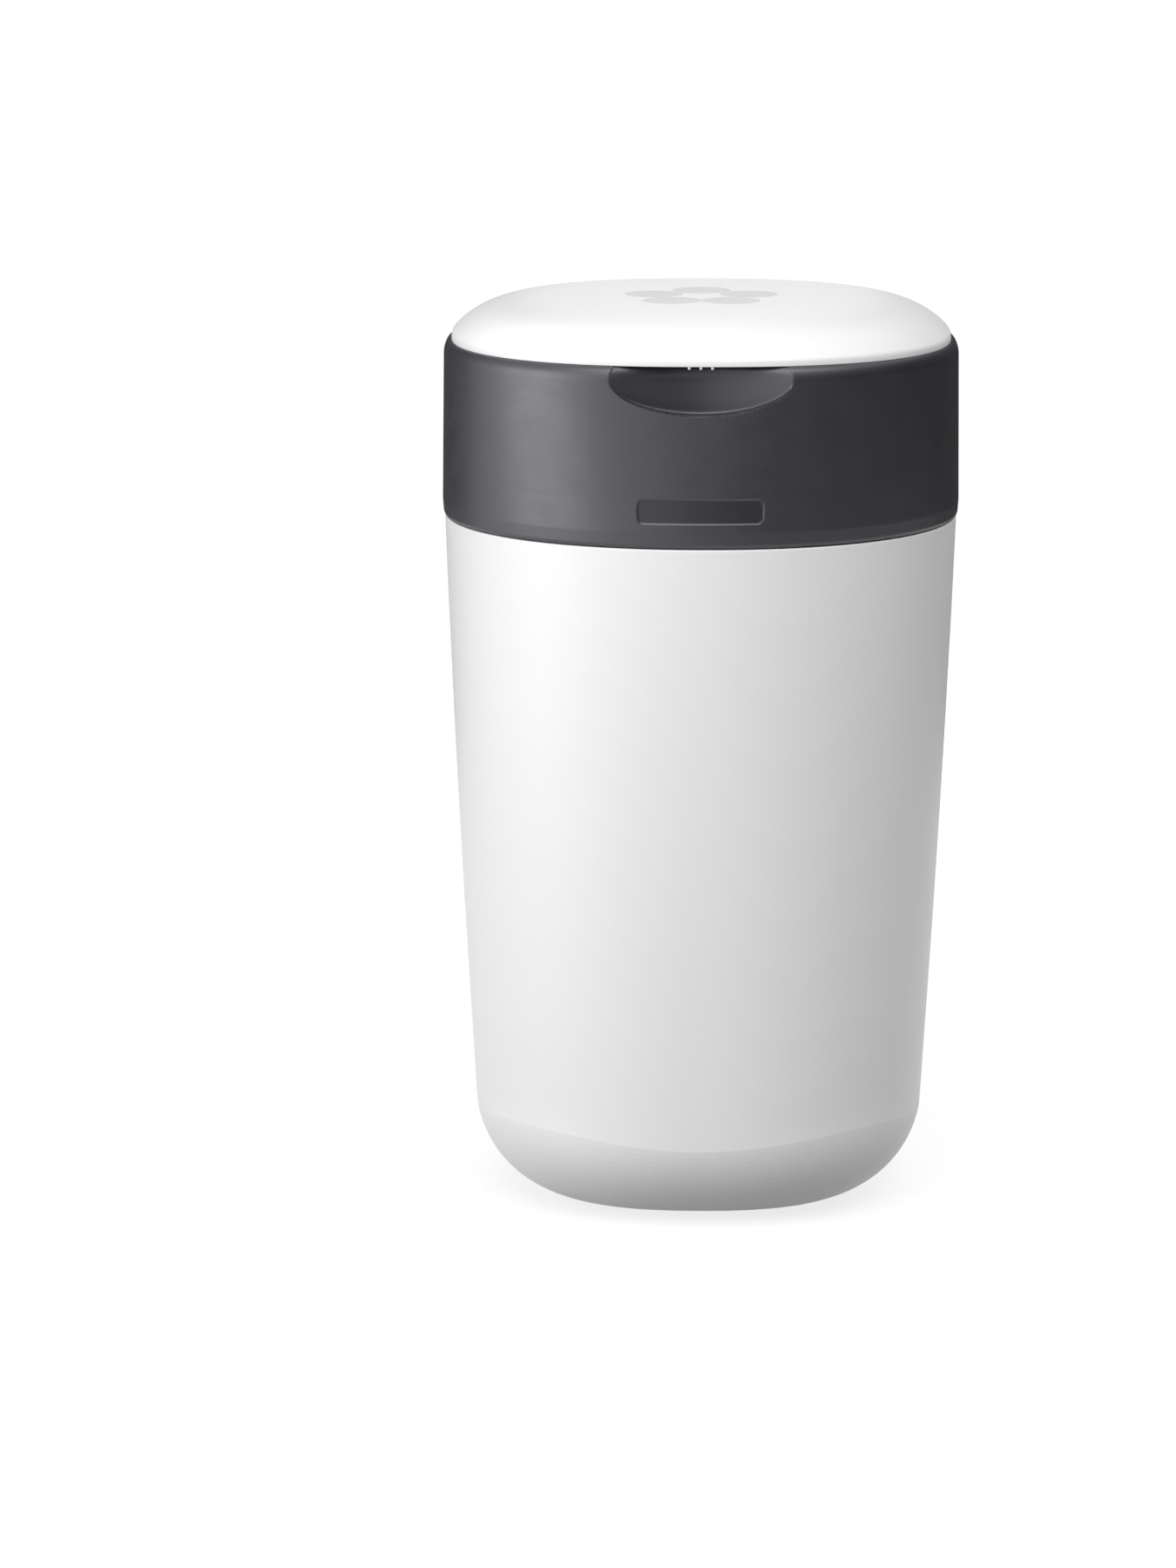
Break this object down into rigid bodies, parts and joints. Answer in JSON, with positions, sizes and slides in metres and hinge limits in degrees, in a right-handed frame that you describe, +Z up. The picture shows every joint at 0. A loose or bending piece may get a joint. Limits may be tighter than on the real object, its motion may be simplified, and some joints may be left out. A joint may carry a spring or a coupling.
{
  "type": "nappy bin",
  "caption": "Tapered squircle nappy bin with a domed flip lid, a tilting dark top unit and a twisting film cassette with gripper fingers and a guarded cutter.",
  "frame": {"origin": "middle of the base, on the floor", "axes": "+Z up, the front with the finger scoop faces -Y, +X is to the right seen from the front"},
  "size_m": [0.26, 0.26, 0.4562],
  "materials": {
    "white_gloss": "smooth white moulded polypropylene",
    "charcoal_satin": "satin charcoal moulded plastic",
    "grey_plastic": "satin grey moulded plastic",
    "smoke_plastic": "dark smoke glossy plastic",
    "mint_film": "thin mint film, pleated and twisted",
    "soft_grey": "soft grey elastomer",
    "steel": "bright steel"
  },
  "bodies": {
    "base": {"tub": "white_gloss", "tilt_rod": "steel"},
    "top_unit": {"collar": "charcoal_satin", "tray": "charcoal_satin", "tray_screws": "steel", "gripper": "soft_grey", "gripper_clamp": "charcoal_satin", "gripper_screws": "steel", "cutter_housing": "grey_plastic", "cutter_blade": "steel", "pawl_pin": "steel"},
    "pawl": {"click_pawl": "grey_plastic"},
    "twist_unit": {"carrier": "grey_plastic", "twist_ring": "grey_plastic", "cassette_case": "smoke_plastic", "cassette_cover": "grey_plastic", "cassette_core": "smoke_plastic", "film_pack": "mint_film", "film_sleeve": "mint_film"},
    "lid": {"lid_shell": "white_gloss", "lid_panel": "white_gloss", "lid_seal": "soft_grey", "lid_rod": "steel", "lid_screws": "steel"}
  },
  "joints": [
    {"name": "top_unit_tilt", "type": "hinge", "parent": "base", "child": "top_unit", "pos_m": [0, 0.119, 0.341], "axis": [-1, 0, 0], "range_deg": [0, 80]},
    {"name": "lid_hinge", "type": "hinge", "parent": "top_unit", "child": "lid", "pos_m": [0, 0.1205, 0.438], "axis": [-1, 0, 0], "range_deg": [0, 100]},
    {"name": "cassette_twist", "type": "hinge", "parent": "top_unit", "child": "twist_unit", "pos_m": [0, 0, 0.39], "axis": [0, 0, 1], "continuous": true},
    {"name": "pawl_click", "type": "hinge", "parent": "top_unit", "child": "pawl", "pos_m": [0.03484, 0.08623, 0.374], "axis": [0, 0, 1], "range_deg": [0, 6], "stiffness_Nm_per_rad": 0.2, "springref_deg": -2.86}
  ]
}
